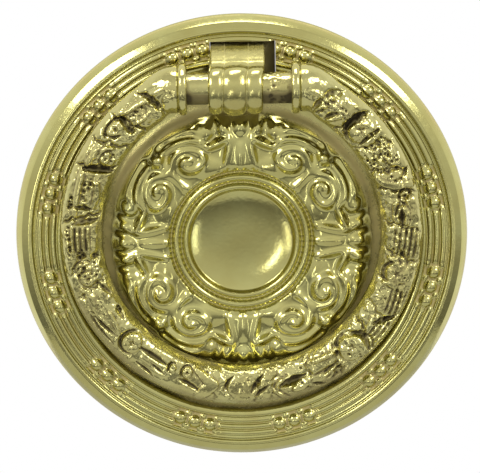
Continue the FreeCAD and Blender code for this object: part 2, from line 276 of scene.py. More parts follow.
def scroll_relief(u, v, rise):
    """Rise of the rosette in one eighth of the field, u out along an axis and v across it.

    A volute winds in from the diagonal, and three leaf folds run round its outside to a ball on the diagonal.
    On the axis a trunk with three ridges carries two pointed arms and, past them, five round lobes that end
    at the field's edge. The highest form counts."""
    coil = curve(np.reshape(COIL, (-1, 2)), 90)
    pad = dome(u - 11.75, v - 7.3, 2.35, 2.95, 0.55, 0.8)
    band = stroke(u, v, coil, [0.55, 0.6, 0.6, 0.52, 0.42, 0.36], [0.35, 0.42, 0.48, 0.5, 0.5, 0.5], 1.8)
    trunk = np.abs(v) / np.interp(u, [10.3, 12.5, 14.3, 15.6], [2.45, 1.85, 1.5, 1.3])

    def lobe(radius, degrees, half_along, half_across, height):
        turn = math.radians(degrees)
        out = u * math.cos(turn) + v * math.sin(turn) - radius
        across = v * math.cos(turn) - u * math.sin(turn)
        return dome(out, across, half_along, half_across, height, 0.6)

    shapes = [
        pad + band,
        dome(u - 11.75, v - 7.4, 0.55, 0.55, 1.1),
        0.34 * np.clip(1 - trunk**4, 0, None) * smooth(10.2, 11.0, u) * smooth(15.9, 15.0, u),
        lobe(16.35, 0.0, 1.4, 1.15, 0.75),
        lobe(16.4, 8.4, 1.35, 0.85, 0.7),
        lobe(16.5, 17.0, 1.4, 1.05, 0.66),
        dome(u - 11.75, v - 11.75, 1.1, 1.1, 1.0),
        dome(u - 12.6, v - 12.6, 1.2, 1.2, 0.5),
        dome(u - 10.6, v - 4.6, 1.7, 2.6, 0.32, 1.0),
    ]
    shapes += [stroke(u, v, curve(np.reshape(points, (-1, 2))), *rest) for points, *rest in STROKES]
    return rise * np.maximum.reduce(shapes)


def plate_height(r, angle, size):
    """Height of the plate's front over radius and angle.

    A turned profile of dish, boss, field, trough, channel and skirt, with rosette, reeds and beads on it."""
    rim, floor, trough = (x / MM for x in (size.rim_height, size.channel_floor, size.trough_floor))
    field, edge, outer = (x / MM for x in (size.field_height, size.field_radius, size.radius))
    h = BOSS_FLOOR + BOSS_RISE * np.maximum(arch(r, 7.85, 0.66), arch(r, 9.22, 0.72))
    h = np.where(r < DISH_EDGE, DISH_FLOOR + DISH_DEPTH * (r / DISH_EDGE) ** 3.6, h)
    pearls = dome(np.sin(angle * PEARL_WAVES) * 0.5, r - PEARL_CIRCLE, 0.5, 0.25, 0.1)
    h = np.where(np.abs(r - PEARL_CIRCLE) < 0.4, h + pearls, h)
    ground = field - 0.35 * smooth(12.5, 17.2, r)
    slope = BOSS_FLOOR + (ground - BOSS_FLOOR) * smooth(9.95, 10.35, r)
    h = np.where(r > 9.9, np.maximum(h, slope), h)
    mill = dome(np.sin(angle * MILL_WAVES) * 0.5, r - MILL_CIRCLE, 0.5, 0.36, 0.1)
    h = np.where((r > 9.8) & (r < 10.6), h + mill, h)
    fold = np.abs(np.mod(angle + np.pi / 4, np.pi / 2) - np.pi / 4)
    u, v = r * np.cos(fold), r * np.sin(fold)
    notch = 0.5 * np.exp(-(((v - 1.3) / 0.3) ** 2)) + 0.5 * np.exp(-(((v - 3.55) / 0.35) ** 2))
    limit = edge + 0.6 - notch
    relief = scroll_relief(u, v, size.relief / MM) * smooth(9.9, 10.7, r)
    drop = smooth(limit + 0.85, limit - 0.5, r)
    cove = trough - 0.12 * arch(r, 21.3, 3.3)
    h = np.where(r > 10.3, cove + (ground + relief - cove) * drop, h)
    h = np.where((r > 10.5) & (r < COVE_START), blurred(h, 8), h)
    h = np.where(r > COVE_START, cove, h)
    rise = trough + (rim - trough) * arch(r, 25.78, 1.3) ** 0.8
    h = np.where((r > 24.3) & (r < 25.9), np.maximum(h, rise), h)
    h = np.where(r >= CHANNEL_START, floor + (rim - floor) * arch(r, CHANNEL_START, 0.42), h)
    rods = arch(np.mod((r - REED_START) / REED_PITCH, 1.0), 0.5, 0.47) ** 0.5
    rods = np.where((r > REED_START) & (r < REED_START + REEDS * REED_PITCH), rods, 0.0)
    step = 2 * np.pi / BEAD_GROUPS
    local = np.mod(angle, step) - step / 2
    gap = np.radians(6.9)
    h = h + size.reed_rise / MM * rods * smooth(gap - 0.008, gap + 0.012, np.abs(local))
    bead, bead_rise = np.radians(4.5), size.bead_rise / MM
    near = local - bead * np.clip(np.round(local / bead), -1, 1)
    across = np.abs(r - BEAD_CIRCLE)
    beads = dome(near * BEAD_CIRCLE, across, 1.0, 0.98, bead_rise, 0.6)
    between = np.abs(near) * BEAD_CIRCLE - bead * BEAD_CIRCLE / 2
    beads = np.maximum(beads, dome(between, across - 1.0, 0.5, 0.42, 0.55 * bead_rise, 0.6))
    h = np.where((np.abs(local) < gap) & (across < 1.5), np.maximum(h, floor + beads), h)
    crest = 0.28 * arch(r, 29.12, 0.2)
    h = np.where((r > 28.9) & (r < CREST_END), np.maximum(h, floor + crest + 0.1), h)
    skirt_radii = [SKIRT_START, outer - 0.95, outer - 0.12, outer]
    skirt = np.interp(r, skirt_radii, [rim - 0.05, rim - 0.6, 0.34, 0.0])
    crown = floor + (rim - floor) * arch(r, 29.82, 0.5) ** 0.7
    return np.where(r > CREST_END, np.where(r > SKIRT_START, skirt, np.maximum(crown, floor)), h)


def brass(name, tint, tarnish_and_shade, pit_dirt_and_shade, roughness, grain, pitting, film):
    """Brass with a fine grain, faint stains and pits, under a brown film as thick as the per-vertex attribute of
    deposits and painted shade says.
    """
    material = bpy.data.materials.new(name)
    material.use_nodes = True
    tree = material.node_tree
    nodes, link = tree.nodes, tree.links.new
    shader = nodes["Principled BSDF"]
    shader.inputs["Specular IOR Level"].default_value = 0.05

    def node(kind, **values):
        made = nodes.new(kind)
        for key, value in values.items():
            if key in made.inputs:
                made.inputs[key].default_value = value
            else:
                setattr(made, key, value)
        return made

    place = nodes.new("ShaderNodeTexCoord").outputs["Object"]
    dirt_and_shade = node("ShaderNodeAttribute", attribute_name="dirt_and_shade").outputs["Fac"]

    def texture(kind, **values):
        made = node(kind, **values)
        link(place, made.inputs["Vector"])
        return made

    stain = texture("ShaderNodeTexNoise", Scale=210.0, Detail=4.0, Roughness=0.6)
    fine = texture("ShaderNodeTexNoise", Scale=1900.0, Detail=3.0, Roughness=0.55)
    speck = texture("ShaderNodeTexVoronoi", Scale=1500.0)
    broad = texture("ShaderNodeTexNoise", Scale=80.0, Detail=3.0, Roughness=0.6)

    def ranged(value, low, high, to_low, to_high):
        made = node("ShaderNodeMapRange")
        for key, number in (("From Min", low), ("From Max", high), ("To Min", to_low), ("To Max", to_high)):
            made.inputs[key].default_value = number
        link(value, made.inputs["Value"])
        return made.outputs["Result"]

    def maths(kind, first, second):
        made = node("ShaderNodeMath", operation=kind)
        for socket, value in zip(made.inputs, (first, second)):
            if isinstance(value, (int, float)):
                socket.default_value = value
            else:
                link(value, socket)
        return made.outputs["Value"]

    def mixed(factor, first, second):
        made = node("ShaderNodeMix", data_type="RGBA")
        link(factor, made.inputs["Factor"])
        for socket, value in ((made.inputs[6], first), (made.inputs[7], second)):
            if isinstance(value, tuple):
                socket.default_value = value
            else:
                link(value, socket)
        return made.outputs[2]

    def shade(*shares):
        return tuple(min(1.0, c * k) for c, k in zip(tint, shares)) + (1.0,)

    stained = ranged(stain.outputs["Fac"], 0.35, 0.7, 0.0, 1.0)
    body = mixed(stained, shade(1.08, 1.1, 1.14), shade(0.94, 0.9, 0.82))
    body = mixed(ranged(broad.outputs["Fac"], 0.35, 0.65, 0.0, 0.6), body, shade(0.97, 0.93, 0.86))
    # Deposits and painted shade from the attribute, varied by the stain noise.
    dirt_and_shade_level = maths("ADD", dirt_and_shade, ranged(stain.outputs["Fac"], 0.3, 0.7, -0.12, 0.12))
    # Middle values turn the colour brown and high values near black: real deposits, and painted shade where the
    # attribute paints shade.
    body = mixed(ranged(dirt_and_shade_level, 0.18, 0.62, 0.0, 0.92), body, tuple(film * c for c in tarnish_and_shade) + (1.0,))
    body = mixed(ranged(dirt_and_shade_level, 0.68, 0.98, 0.0, 0.95), body, tuple(pit_dirt_and_shade) + (1.0,))
    link(body, shader.inputs["Base Color"])
    link(ranged(dirt_and_shade_level, 0.25, 0.55, 1.0, 0.25), shader.inputs["Metallic"])
    dull = ranged(dirt_and_shade_level, 0.15, 0.8, roughness, roughness + 0.3)
    link(maths("ADD", dull, ranged(fine.outputs["Fac"], 0.3, 0.7, -0.03, 0.05)), shader.inputs["Roughness"])
    dents = ranged(speck.outputs["Distance"], 0.0, 0.5, -pitting, 0.0)
    height = maths("ADD", maths("MULTIPLY", fine.outputs["Fac"], grain), dents)
    bump = node("ShaderNodeBump", Strength=0.35, Distance=0.00012)
    link(height, bump.inputs["Height"])
    link(bump.outputs["Normal"], shader.inputs["Normal"])
    return material


def tones():
    """The colours of the panel."""
    return bpy.context.scene.ring_pull_colours


def finished(piece, name, tint, roughness, grain, pitting, film):
    """Gives a piece its brass."""
    colours = tones()
    piece.data.materials.clear()
    piece.data.materials.append(
        brass(name, tuple(tint), colours.tarnish_and_shade, colours.pit_dirt_and_shade, roughness, grain, pitting, film)
    )


def turned_rows(profile, count):
    """Places of a profile of axial place and radius pairs turned about the X axis."""
    turn = np.linspace(0, 2 * np.pi, count, endpoint=False)
    p = np.asarray(profile, float)
    x = np.repeat(p[:, :1], count, 1)
    return np.stack([x, p[:, 1:] * np.cos(turn), p[:, 1:] * np.sin(turn)], -1)


class RINGPULL_OT_backplate(bpy.types.Operator):
    """Stamped backplate: a polar height field in front, the hollow sheet behind and the slot for the hook"""

    bl_idname = "ring_pull.backplate"
    bl_label = "Backplate"

    def execute(self, context):
        size = context.scene.ring_pull_plate
        edge = size.radius / MM
        columns = PLATE_COLUMNS
        angle = np.linspace(0, 2 * np.pi, columns, endpoint=False)
        spans = (
            (0.6, 7.0, 9), (7.05, 10.2, 25), (10.33, 18.4, 58), (18.6, 20.6, 9), (21.6, 24.4, 3), (24.7, 29.25, 43),
        )
        crown = [29.36, 29.45, 29.55, 29.68, 29.82, 29.95, 30.04, 30.1, 30.2, 30.5, 30.85]
        skirt = edge - np.array([0.97, 0.93, 0.5, 0.13, 0.11, 0.02, 0.0])
        radii = np.concatenate([*(np.linspace(*span) for span in spans), crown, skirt])
        r, a = np.meshgrid(radii, angle, indexing="ij")
        h = plate_height(r, a, size)
        h[-1] = 0.0
        # Painted shade: the plate is darker wherever it lies below its blurred surroundings, in hollows and
        # creases, together with the brown film there.
        hollow = blurred(h, 6) - h
        dirt_and_shade = np.clip(hollow * 1.7, 0, 0.8)
        trough = smooth(17.6, 18.8, r) * smooth(25.4, 24.4, r)
        film = 0.5 - 0.36 * smooth(19.2, 20.4, r) * smooth(24.1, 23.1, r)
        dirt_and_shade = dirt_and_shade * (1 - 0.75 * trough) + film * trough
        # Painted shadow of the hook: a dark patch on the field just below it.
        shade = np.exp(-((r * np.cos(a)) ** 2 / 60 + (r * np.sin(a) - 20.5) ** 2 / 9))
        dirt_and_shade = np.maximum(dirt_and_shade, 0.75 * shade * smooth(15.0, 17.5, r))
        # Painted shade: the reed channel slightly darker overall and much darker in the valleys between the reeds.
        channel = smooth(25.9, 26.3, r) * smooth(29.3, 28.9, r)
        valley = smooth(0.24, 0.02, h - size.channel_floor / MM)
        dirt_and_shade = np.clip(np.maximum(dirt_and_shade + 0.06 * channel, 0.6 * valley * channel), 0, 1)
        front = np.stack([r * np.cos(a), -h, r * np.sin(a)], -1)
        back_profile = np.array([(edge - 1.0, 0.0), (29.7, 0.2), (16.5, 0.2), (16.4, 0.8), (0.8, 0.8)])
        br, ba = np.meshgrid(back_profile[:, 0], angle, indexing="ij")
        bh = np.repeat(back_profile[:, 1:], columns, 1)
        back = np.stack([br * np.cos(ba), -bh, br * np.sin(ba)], -1)
        rows = np.concatenate([front, back])
        points, faces = capped(rows, True)
        part_dirt_and_shade = np.concatenate([dirt_and_shade.ravel(), np.full(back.shape[0] * columns, 0.25), [0.0, 0.25]])
        piece = build("backplate_relief", [(points, faces, part_dirt_and_shade)], "plate", "backplate")
        cut_slot(piece)
        colours = tones()
        finished(piece, "Polished stamped brass", colours.plate, 0.14, 0.25, 0.05, 1.3)
        return {"FINISHED"}


def cut_slot(piece):
    """Cuts the slot for the hook's neck, a box through the whole sheet with sharp edges and walls darkened with
    painted shade.
    """
    low, high = np.array(SLOT_LOW) * MM, np.array(SLOT_HIGH) * MM
    corners = np.array([[x, y, z] for x in (0, 1) for y in (0, 1) for z in (0, 1)], float)
    corners = low + corners * (high - low)
    mesh = bpy.data.meshes.new("slot_cutter")
    faces = [(0, 1, 3, 2), (4, 6, 7, 5), (0, 4, 5, 1), (2, 3, 7, 6), (0, 2, 6, 4), (1, 5, 7, 3)]
    mesh.from_pydata(corners.tolist(), [], faces)
    cutter = bpy.data.objects.new("slot_cutter", mesh)
    bpy.context.scene.collection.objects.link(cutter)
    step = piece.modifiers.new("slot", "BOOLEAN")
    step.operation = "DIFFERENCE"
    step.solver = "EXACT"
    step.object = cutter
    bpy.context.view_layer.update()
    graph = bpy.context.evaluated_depsgraph_get()
    cut = bpy.data.meshes.new_from_object(piece.evaluated_get(graph), depsgraph=graph)
    piece.modifiers.clear()
    places = np.empty(len(cut.vertices) * 3)
    cut.vertices.foreach_get("co", places)
    places = places.reshape(-1, 3)
    dirt_and_shade = np.empty(len(places), np.float32)
    cut.attributes["dirt_and_shade"].data.foreach_get("value", dirt_and_shade)
    near = ((places > low - 1e-6) & (places < high + 1e-6))[:, [0, 2]].all(1)
    # Painted shade: the slot's walls are made dark.
    dirt_and_shade[near] = SLOT_WALL_SHADE
    cut.attributes["dirt_and_shade"].data.foreach_set("value", dirt_and_shade)
    ends = np.empty(len(cut.edges) * 2, np.int32)
    cut.edges.foreach_get("vertices", ends)
    cut.edges.foreach_set("use_edge_sharp", near[ends.reshape(-1, 2)].all(1))
    old, piece.data = piece.data, cut
    bpy.data.meshes.remove(old)
    bpy.data.objects.remove(cutter)
    bpy.data.meshes.remove(mesh)


RING_MIDDLE = 22.45
# Clefts between the ring's lumps: angle in degrees and depth
CLEFTS = (
    (112.25, 0.5), (121, 1), (132.5, 0.9), (142.5, 0.7), (152.5, 1.2), (172, 1), (190, 0.5), (199, 0.5),
    (258, 0.35), (264, 0.3), (275, 0.4), (281, 0.35), (294, 0.6), (306, 0.5), (320.5, 0.8), (329, 0.5),
    (340, 0.5), (352, 0.6), (363, 0.6), (377, 0.8), (384.5, 0.7), (395, 0.7), (406.5, 0.8), (417, 0.7),
    (427.75, 0.5),
)
# Rosettes: angle, radius, half length, half width, petals and depth of the ditch
ROSETTES = (
    (42, 22.5, 1.75, 2.1, 3, 0.8), (313, 22.3, 2, 1.9, 4, 0.6), (345.5, 22.3, 1.7, 1.7, 5, 0.5),
    (224, 21.8, 1.5, 1.55, 4, 0.7), (137.4, 23.2, 1.55, 1, 2, 0.5), (190.8, 22.5, 1, 1.2, 2, 0.3),
    (194.8, 22.2, 1.1, 1.2, 2, 0.3), (116.4, 21.7, 0.8, 0.8, 5, 0.5), (64.2, 22.3, 0.6, 0.6, 4, 0.7),
    (242.2, 21.5, 0.55, 0.65, 2, 0.4), (248, 21.3, 0.85, 0.85, 3, 0.5), (7, 22.7, 1.5, 1, 2, 0.5),
    (148, 21.9, 1.2, 0.7, 3, 0.4), (30, 23.6, 1.9, 0.9, 6, 0.3), (13.5, 23.4, 0.8, 0.8, 2, 0.6),
)
# Ridges: angles and radii along the path, then three widths and three heights along it
RIDGES = (
    (17.3, 24.8, 18.4, 22.6, 20.5, 21.2, 23.5, 20.5, 0.5, 0.6, 0.4, 0.7, 0.9, 0.6),
    (254.5, 24.2, 256.5, 23, 258.5, 22, 0.7, 1, 0.9, 0.8, 1, 0.8),
    (258.5, 22, 255, 21.2, 251, 20.5, 0.9, 0.7, 0.4, 0.8, 0.7, 0.5),
    (156, 23.9, 163, 23.6, 172, 23.4, 0.5, 0.6, 0.4, 0.4, 0.5, 0.3),
    (158, 21.4, 163, 20.9, 168.5, 21.2, 0.5, 0.6, 0.4, 0.4, 0.5, 0.3),
    (145, 23.6, 149, 23.6, 153.5, 23.9, 0.5, 0.6, 0.4, 0.3, 0.5, 0.3),
    (117, 23.4, 120, 23.5, 131, 23.9, 0.4, 0.5, 0.4, 0.3, 0.45, 0.3),
    (143.3, 21.9, 145.2, 22.8, 149, 22.8, 0.35, 0.4, 0.3, 0.4, 0.5, 0.3),
    (281, 23.2, 283.5, 22, 287, 21.6, 0.4, 0.45, 0.4, 0.5, 0.6, 0.4),
    (288, 23.6, 291, 23.6, 294, 22.8, 0.5, 0.6, 0.4, 0.5, 0.7, 0.4),
    (282, 23.5, 283.5, 24.2, 285, 24.8, 0.4, 0.4, 0.3, 0.5, 0.5, 0.3),
    (124.5, 21.9, 128, 21.6, 131.5, 21.9, 0.25, 0.3, 0.25, 0.2, 0.35, 0.2),
    (305, 24.7, 307.5, 24.8, 310, 24.7, 0.25, 0.3, 0.25, 0.2, 0.35, 0.2),
    (205, 22.9, 200, 22.9, 198, 23.6, 0.4, 0.5, 0.4, 0.3, 0.45, 0.4),
    (210, 21.5, 214, 21.7, 218.5, 22.2, 0.35, 0.4, 0.3, 0.3, 0.4, 0.2),
    (4.5, 21.8, 7, 21.5, 12, 21.7, 0.35, 0.4, 0.35, 0.4, 0.5, 0.3),
    (47, 22.7, 52, 22.5, 64, 22.7, 0.5, 0.5, 0.4, 0.3, 0.35, 0.3),
    (51, 22, 52.5, 21.2, 54, 20.5, 0.4, 0.4, 0.3, 0.5, 0.5, 0.3),
    (57.5, 22, 59, 21.2, 60.5, 20.3, 0.4, 0.4, 0.3, 0.5, 0.5, 0.3),
    (340.5, 22.6, 341, 21.8, 341.2, 21, 0.45, 0.5, 0.4, 0.5, 0.6, 0.4),
    (349, 22, 350.5, 21.6, 351, 20.8, 0.45, 0.5, 0.4, 0.5, 0.6, 0.4),
    (320, 22.3, 322, 22.2, 327, 21.8, 0.45, 0.5, 0.4, 0.4, 0.5, 0.3),
    (298, 20.9, 303, 21.1, 308, 21.3, 0.45, 0.5, 0.4, 0.3, 0.4, 0.3),
    (121.6, 22.2, 122.4, 23, 123, 23.8, 0.35, 0.4, 0.3, 0.4, 0.5, 0.3),
)
# Cuts: angles and radii along the path, then width and depth
CUTS = (
    (133, 24, 133.6, 23, 134.2, 22, 0.24, 0.6), (138, 22.2, 140, 22.8, 141.5, 24, 0.24, 0.6),
    (316.4, 24.5, 319.4, 22.2, 314.5, 20.6, 0.38, 0.7), (352, 22.8, 353.4, 22.4, 355, 22.1, 0.24, 0.5),
    (38.3, 24.3, 38.6, 22.5, 38, 20.7, 0.26, 0.6), (56.4, 24.6, 58, 23.6, 59.4, 22.4, 0.32, 0.7),
    (59.5, 22.2, 60.8, 21.2, 62, 20.2, 0.35, 0.7), (53, 22, 54.2, 21.2, 55.2, 20.3, 0.3, 0.5),
    (45.6, 24.2, 46.6, 22.6, 46.2, 20.6, 0.45, 0.8), (151.6, 20.2, 153, 22, 155, 24, 0.36, 0.9),
    (172, 20.2, 173.2, 21.8, 174.6, 23.6, 0.34, 0.7), (168, 21, 168.3, 22.4, 168, 24.2, 0.25, 0.6),
    (120, 20.8, 121, 22, 122.2, 24.1, 0.35, 0.7), (228, 21.5, 234, 21.4, 241, 21.6, 0.3, 0.6),
    (246, 22.6, 250, 22.8, 255, 23.4, 0.26, 0.5), (262.6, 22.8, 264, 21.4, 266, 20.6, 0.2, 0.5),
    (272.6, 22.9, 274.4, 21.7, 277.4, 20.6, 0.24, 0.6), (274, 23.6, 276.4, 22.8, 279.2, 22.1, 0.22, 0.5),
    (283, 22.5, 287.5, 22.3, 293, 22.2, 0.5, 1), (325, 22.3, 328, 23.5, 332, 25, 0.32, 0.8),
    (294.2, 23.8, 296, 24.3, 298.2, 24.8, 0.24, 0.5), (301, 24.4, 303.5, 23.9, 306, 23.4, 0.24, 0.5),
    (12, 23.2, 14, 23.3, 16, 23.2, 0.75, 0.8), (3.6, 22.5, 7, 22.45, 10, 22.6, 0.32, 0.8),
    (20, 23.6, 21.4, 24.4, 22.8, 25, 0.25, 0.5), (198, 21, 200.5, 20.6, 203.5, 20.1, 0.22, 0.5),
    (209, 23.6, 213, 23.2, 218.5, 22.7, 0.24, 0.5), (207, 24, 211, 24, 220, 23.8, 0.2, 0.4),
    (230, 23.5, 234, 23.6, 237.5, 24, 0.2, 0.4), (234.5, 22.5, 237, 22.6, 240.5, 22.9, 0.2, 0.4),
    (214.5, 20.4, 211, 20.3, 209, 20.1, 0.3, 0.5), (306, 22.8, 301, 22.9, 294.5, 22.7, 0.24, 0.4),
    (240.8, 20.9, 240.6, 21.6, 241.2, 22.3, 0.2, 0.5),
)
# Ripples: angles and radii they lie between, waves in radians per millimetre, tilt and rise
RIPPLES = (
    (319, 329, 22.2, 25.2, 8.4, -0.1, 0.22), (329.5, 341, 22, 25, 8.8, 0.08, 0.2),
    (351, 363, 21, 24.9, 8.4, -0.16, 0.2), (174.8, 185.5, 20.9, 24.4, 8.4, -0.03, 0.22),
    (199, 219, 21.6, 24, 7, 0.08, 0.07), (298, 308, 22.6, 25, 8.5, 0.18, 0.16),
    (26, 35, 20.6, 24.6, 6.5, 0, 0.12), (156, 170, 21.4, 23.4, 7.5, 0.03, 0.08),
    (229, 241, 22.2, 24, 8, -0.05, 0.06), (48, 63, 21.8, 23.2, 8.5, 0, 0.07),
)
# Casting pits: angles and radii they lie between, their number, depth and radius
PITS = (
    (25, 35, 20.5, 24.4, 60, 0.5, 0.17), (34, 39, 21, 24.6, 14, 0.5, 0.17), (47, 66, 22, 23, 60, 0.3, 0.15),
    (125, 131, 22.8, 23.2, 14, 0.4, 0.15), (133, 134.6, 21.2, 22, 7, 0.8, 0.3),
    (144, 152, 20.3, 21.6, 14, 0.35, 0.15), (157, 168, 22.2, 23, 26, 0.45, 0.17),
    (176, 186, 24, 24.4, 14, 0.5, 0.16), (188, 199, 20.3, 24.2, 36, 0.4, 0.15),
    (184, 187.6, 22, 22.8, 6, 1, 0.36), (185.8, 187, 20.2, 20.8, 3, 0.8, 0.3),
    (199, 212, 21.5, 23.8, 12, 0.35, 0.15), (209, 213, 20.1, 20.5, 5, 0.5, 0.2),
    (262, 310, 21, 24, 20, 0.25, 0.15), (310, 360, 20.4, 24.8, 44, 0.3, 0.14),
    (0, 25, 21, 24.5, 22, 0.35, 0.15), (113.6, 115, 21.6, 22.8, 5, 0.7, 0.3),
    (164, 170, 24, 24.4, 5, 0.6, 0.2),
)


def ring_relief(along, across):
    """Rise of the ring's carving over the angle in degrees and the radius in millimetres.

    Lumps parted by wandering clefts carry rosettes, ridges, cuts, ripples and casting pits. Each adds to the
    height, and of the ridges, the cuts and the pits only the highest or the deepest counts."""
    relief = np.zeros(along.shape)
    rng = np.random.default_rng(7)

    def local(degrees, radius):
        return np.radians(np.mod(along - degrees + 180, 360) - 180) * RING_MIDDLE, across - radius

    def ridge(points, width, height, power=2.0):
        p = np.reshape(points, (-1, 2)).astype(float)
        line = curve(np.stack([np.radians(p[:, 0] - p[0, 0]) * RING_MIDDLE, p[:, 1]], -1), 16)
        s, t = local(p[0, 0], 0.0)
        return stroke(s, t, line, width, height, power)

    def rosette(degrees, radius, size_s, size_t, petals, deep):
        s, t = local(degrees, radius)
        d = np.hypot(s / size_s, t / size_t)
        phi = np.arctan2(t, s)
        cup = 0.5 * np.clip(1 - d**2, 0, None) ** 0.5 * (0.78 + 0.22 * np.cos(petals * phi + degrees))
        facing = np.clip(0.4 + 0.6 * np.cos(phi - np.radians(degrees - 60)), 0, 1)
        ditch = -deep * np.exp(-(((d - 1.1) / 0.15) ** 2)) * facing
        eye = -0.45 * np.exp(-((d / 0.25) ** 2))
        return cup + ditch + eye

    def pits(start, end, low, high, count, depth, radius):
        total = np.zeros(along.shape)
        draws = [rng.uniform(*span, count) for span in ((start, end), (low, high), (0.6, 1.3))]
        for place, level, scale in zip(*draws):
            s, t = local(place, level)
            total = np.minimum(total, -depth * scale * np.exp(-(s**2 + t**2) / (radius * scale) ** 2))
        return total

    stops, depths = np.array(CLEFTS).T
    way = along + 1.0 * (across - RING_MIDDLE) * np.clip((along - 270) / 8, -1, 1)
    way = way + 0.55 * np.sin(across * 2.7 + along * 0.11) + 0.3 * np.sin(across * 6.1 - along * 0.17)
    place = np.clip(np.searchsorted(stops, way) - 1, 0, len(stops) - 2)
    wide = stops[place + 1] - stops[place]
    t = np.clip((way - stops[place]) / wide * 2 - 1, -1, 1)
    swell = rng.uniform(0.32, 0.52, len(stops))[place]
    side = 1 - np.clip((1 - np.abs(t)) * wide / np.minimum(wide, 14.0), 0, 1)
    depth = depths[place + (t > 0)]
    relief += swell * (1 - depth * (1 - np.clip(1 - side**2.4, 0, None) ** 0.6)) - 0.12
    relief -= 0.36 * depth * np.exp(-(((1 - np.abs(t)) * wide * 0.196 / 0.26) ** 2))
    for row in ROSETTES:
        relief += rosette(*row)
    rises = np.zeros(along.shape)
    for row in RIDGES:
        rises = np.maximum(rises, ridge(row[:-6], row[-6:-3], row[-3:]))
    relief += 1.2 * rises
    sunk = np.zeros(along.shape)
    taper = np.array([0.5, 1.0, 0.9, 0.35])
    for *points, width, depth in CUTS:
        sunk = np.minimum(sunk, -ridge(points, 1.6 * width * taper, depth * taper, 1.5))
    relief += 1.2 * sunk
    for start, end, low, high, waves, tilt, rise in RIPPLES:
        s, t = local((start + end) / 2, (low + high) / 2)
        half_s, half_t = np.radians((end - start) / 2) * RING_MIDDLE, (high - low) / 2
        inside = smooth(half_s, half_s - 0.7, np.abs(s)) * smooth(half_t, half_t - 0.3, np.abs(t))
        relief += rise * inside * np.sin(waves * (t + tilt * s) + 0.6 * np.sin(s * 0.9))
    rough = np.zeros(along.shape)
    for row in PITS:
        rough = np.minimum(rough, pits(*row))
    return 1.15 * (relief + rough)


